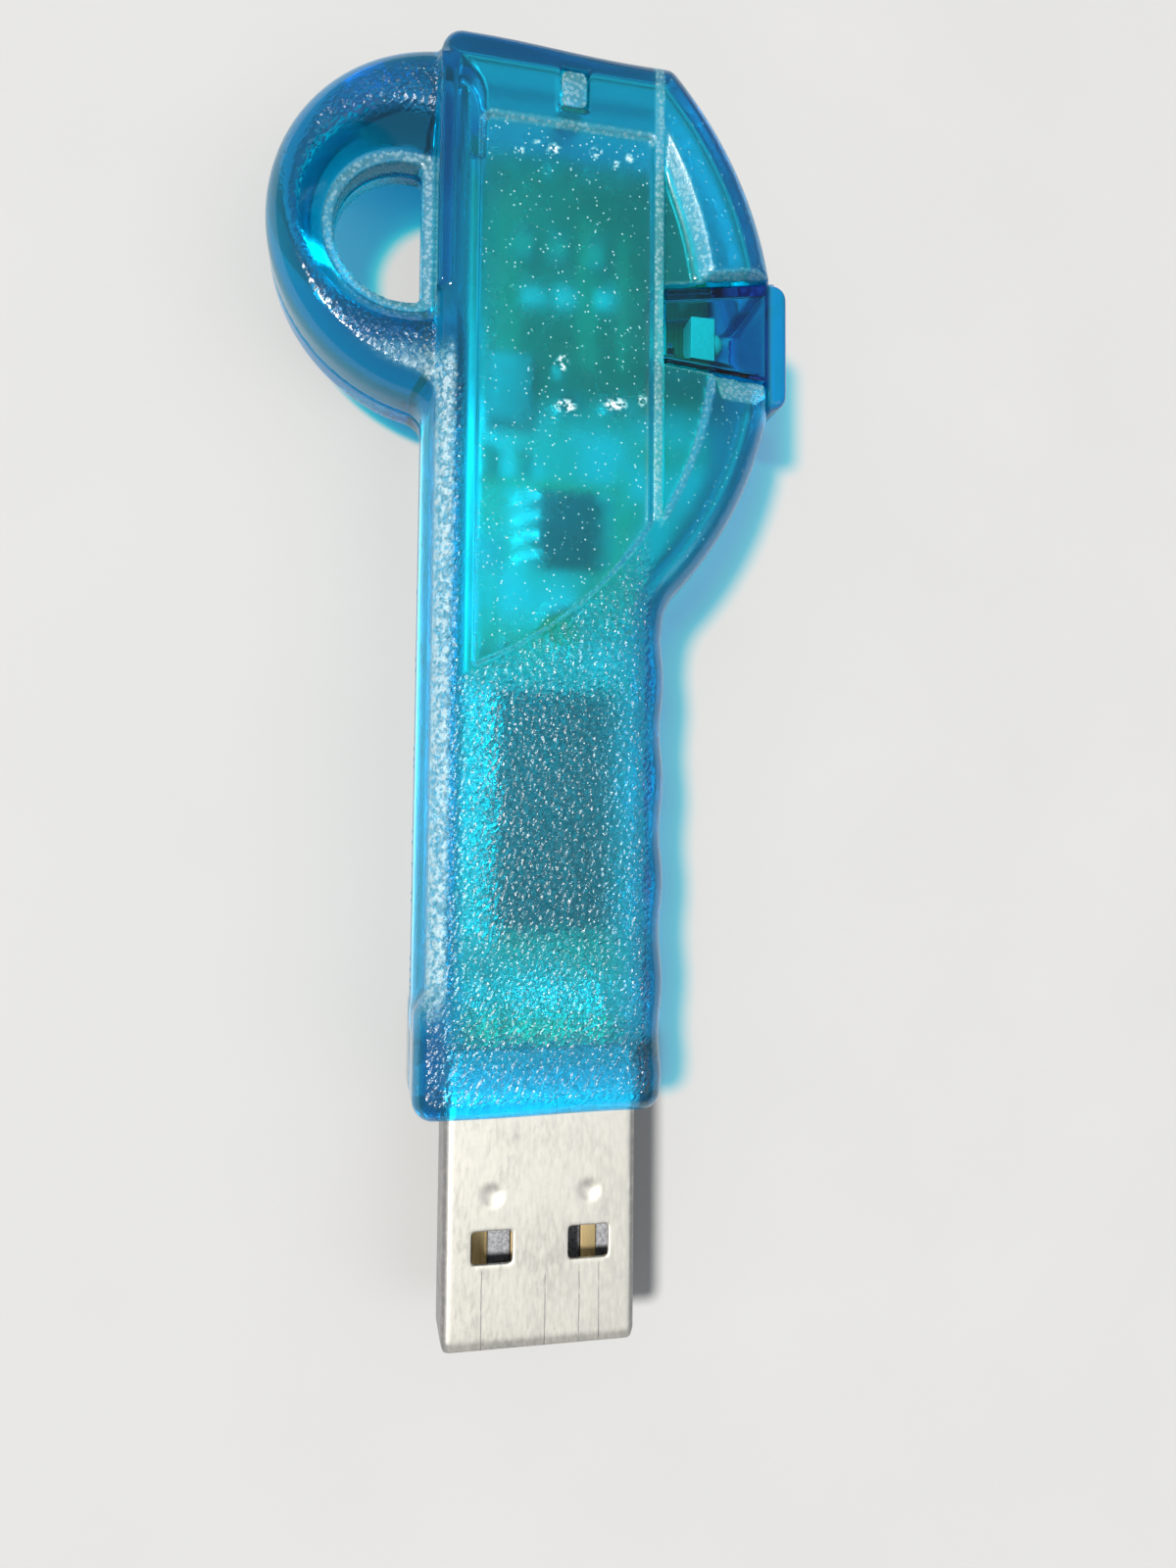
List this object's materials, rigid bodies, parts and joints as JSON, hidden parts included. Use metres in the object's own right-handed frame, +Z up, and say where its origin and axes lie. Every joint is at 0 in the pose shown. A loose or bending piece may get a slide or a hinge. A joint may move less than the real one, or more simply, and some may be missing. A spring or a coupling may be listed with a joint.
{
  "type": "usb flash drive",
  "caption": "Key-shaped USB flash drive in a translucent blue two-part casing, with a key-ring loop, a light window and a steel USB-A plug.",
  "frame": {"origin": "centre of the underside's bounding box, on the surface the drive lies on", "axes": "+Y along the drive from the plug's tip to the loop end, +X to the side of the light window, +Z up through the labelled face"},
  "size_m": [0.0333, 0.0814, 0.0098],
  "materials": {
    "casing": "translucent blue polycarbonate, fine pebble grain on the faces and polished sides",
    "window": "clear blue polycarbonate, polished",
    "steel": "nickel-plated sheet, satin, lightly scratched",
    "gold": "thin gold plating",
    "carrier": "dark grey moulded plastic",
    "board": "green solder mask on glass-epoxy",
    "chip": "black moulded epoxy with tinned leads",
    "tantalum": "olive-yellow moulded epoxy",
    "ceramic": "tan ceramic with tinned ends",
    "resistor": "black glaze with tinned ends",
    "led": "white body with a clear lens"
  },
  "bodies": {
    "root": {"upper_casing": "casing", "lower_casing": "casing", "light_window": "window", "plug_shell": "steel", "contact_carrier": "carrier", "contact_power": "gold", "contact_data_minus": "gold", "contact_data_plus": "gold", "contact_ground": "gold", "circuit_board": "board", "controller_chip": "chip", "regulator_chip": "chip", "memory_chip": "chip", "tantalum_capacitor": "tantalum", "input_capacitor": "ceramic", "output_capacitor": "ceramic", "load_capacitor_left": "ceramic", "load_capacitor_right": "ceramic", "filter_capacitor_left": "ceramic", "filter_capacitor_middle": "ceramic", "filter_capacitor_right": "ceramic", "memory_capacitor_left": "ceramic", "memory_capacitor_right": "ceramic", "ferrite_bead": "resistor", "data_resistor_left": "resistor", "data_resistor_right": "resistor", "pull_up_resistor": "resistor", "led_resistor": "resistor", "bias_resistor_left": "resistor", "bias_resistor_right": "resistor", "crystal": "steel", "status_led": "led"}
  },
  "joints": []
}
